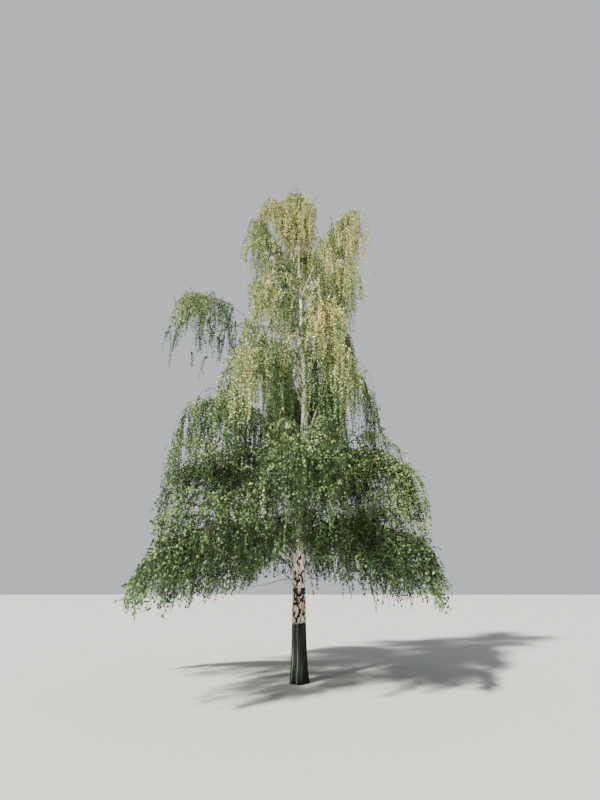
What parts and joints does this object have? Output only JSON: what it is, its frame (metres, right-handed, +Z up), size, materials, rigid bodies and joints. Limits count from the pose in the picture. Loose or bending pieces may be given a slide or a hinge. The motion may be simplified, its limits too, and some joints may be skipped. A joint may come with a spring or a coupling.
{
  "type": "weeping birch tree",
  "caption": "Tall weeping birch: a pale tapering trunk with a dark flared foot, arching boughs and hanging masses of small green leaves.",
  "frame": {"origin": "middle of the flat cut under the trunk, at ground level", "axes": "+Z up the trunk; the picture looks along +Y, so its left is -X"},
  "size_m": [6.5025, 6.6044, 13.3574],
  "materials": {
    "trunk_bark": "matt",
    "bough_bark": "matt",
    "foliage_upper": "matt",
    "foliage_middle": "matt",
    "foliage_lower": "matt"
  },
  "bodies": {
    "root": {"trunk": "trunk_bark", "bough_arm": "bough_bark", "bough_crest_1": "bough_bark", "bough_crest_2": "bough_bark", "bough_high_1": "bough_bark", "bough_high_2": "bough_bark", "bough_high_3": "bough_bark", "bough_high_4": "bough_bark", "bough_low_1": "bough_bark", "bough_low_2": "bough_bark", "bough_low_3": "bough_bark", "bough_low_4": "bough_bark", "bough_low_5": "bough_bark", "bough_middle_1": "bough_bark", "bough_middle_2": "bough_bark", "bough_middle_3": "bough_bark", "bough_middle_4": "bough_bark", "bough_middle_5": "bough_bark", "bough_shoulder": "bough_bark", "bough_skirt_1": "bough_bark", "bough_skirt_2": "bough_bark", "bough_skirt_3": "bough_bark", "bough_skirt_4": "bough_bark", "bough_skirt_5": "bough_bark", "bough_upper_1": "bough_bark", "bough_upper_2": "bough_bark", "bough_upper_3": "bough_bark", "bough_upper_4": "bough_bark", "mass_arm": "foliage_upper", "mass_crest_1": "foliage_upper", "mass_crest_2": "foliage_upper", "mass_high_1": "foliage_middle", "mass_high_2": "foliage_middle", "mass_high_3": "foliage_middle", "mass_high_4": "foliage_middle", "mass_leader": "foliage_upper", "mass_low_1": "foliage_lower", "mass_low_2": "foliage_lower", "mass_low_3": "foliage_lower", "mass_low_4": "foliage_lower", "mass_low_5": "foliage_lower", "mass_middle_1": "foliage_middle", "mass_middle_2": "foliage_middle", "mass_middle_3": "foliage_middle", "mass_middle_4": "foliage_middle", "mass_middle_5": "foliage_middle", "mass_shoulder": "foliage_upper", "mass_skirt_1": "foliage_lower", "mass_skirt_2": "foliage_lower", "mass_skirt_3": "foliage_lower", "mass_skirt_4": "foliage_lower", "mass_skirt_5": "foliage_lower", "mass_top_1": "foliage_upper", "mass_top_2": "foliage_upper", "mass_top_3": "foliage_upper", "mass_upper_1": "foliage_middle", "mass_upper_2": "foliage_middle", "mass_upper_3": "foliage_middle", "mass_upper_4": "foliage_middle"}
  },
  "joints": []
}
